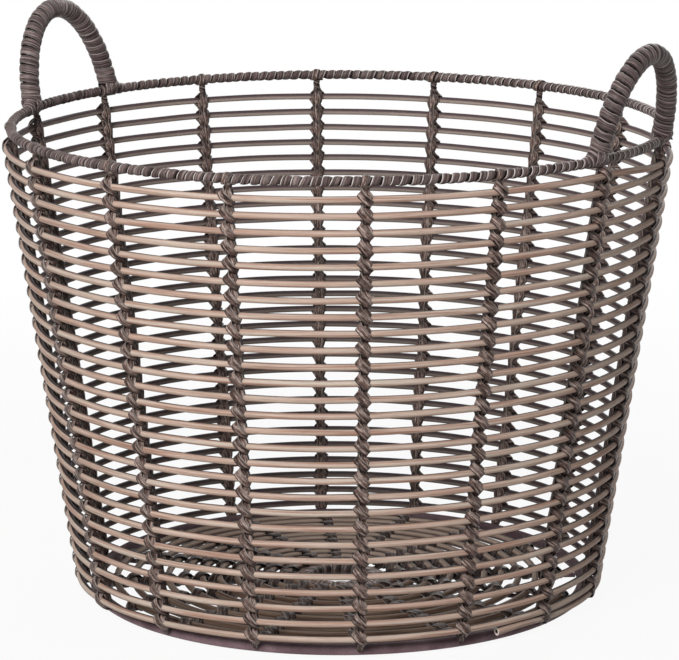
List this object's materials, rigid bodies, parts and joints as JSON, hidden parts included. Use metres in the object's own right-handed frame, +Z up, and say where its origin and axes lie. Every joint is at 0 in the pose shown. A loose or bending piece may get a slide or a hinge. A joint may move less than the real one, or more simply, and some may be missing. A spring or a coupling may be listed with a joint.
{
  "type": "rattan storage basket",
  "caption": "Round tapered open basket: cane wound round a wire frame of stakes, a strip-wound rim hoop and handle arches, lashed joints and a flat spiral base.",
  "frame": {"origin": "centre of the basket's footprint, on the surface it stands on", "axes": "+Z up along the basket's axis, +X through the middle of one handle, +Y level and square to the handles"},
  "size_m": [0.4724, 0.4525, 0.3936],
  "materials": {
    "wall_cane": "satin, with fine lengthwise grain",
    "base_cane": "satin, with fine lengthwise grain",
    "strip": "satin, streaked",
    "wire": "semi-gloss dark brown coating"
  },
  "bodies": {
    "root": {"rim_core": "wire", "rim_wrap": "strip", "handle_core_right": "wire", "handle_wrap_right": "strip", "handle_core_left": "wire", "handle_wrap_left": "strip", "stake_01": "wire", "spoke_01": "wire", "lashing_01": "strip", "stake_02": "wire", "spoke_02": "wire", "lashing_02": "strip", "stake_03": "wire", "spoke_03": "wire", "lashing_03": "strip", "stake_04": "wire", "spoke_04": "wire", "lashing_04": "strip", "stake_05": "wire", "spoke_05": "wire", "lashing_05": "strip", "stake_06": "wire", "spoke_06": "wire", "lashing_06": "strip", "stake_07": "wire", "spoke_07": "wire", "lashing_07": "strip", "stake_08": "wire", "spoke_08": "wire", "lashing_08": "strip", "stake_09": "wire", "spoke_09": "wire", "lashing_09": "strip", "stake_10": "wire", "spoke_10": "wire", "lashing_10": "strip", "stake_11": "wire", "spoke_11": "wire", "lashing_11": "strip", "stake_12": "wire", "spoke_12": "wire", "lashing_12": "strip", "stake_13": "wire", "spoke_13": "wire", "lashing_13": "strip", "stake_14": "wire", "spoke_14": "wire", "lashing_14": "strip", "stake_15": "wire", "spoke_15": "wire", "lashing_15": "strip", "stake_16": "wire", "spoke_16": "wire", "lashing_16": "strip", "base_ring": "wire", "base_hub": "wire", "base_cane": "base_cane", "wall_cane": "wall_cane"}
  },
  "joints": []
}
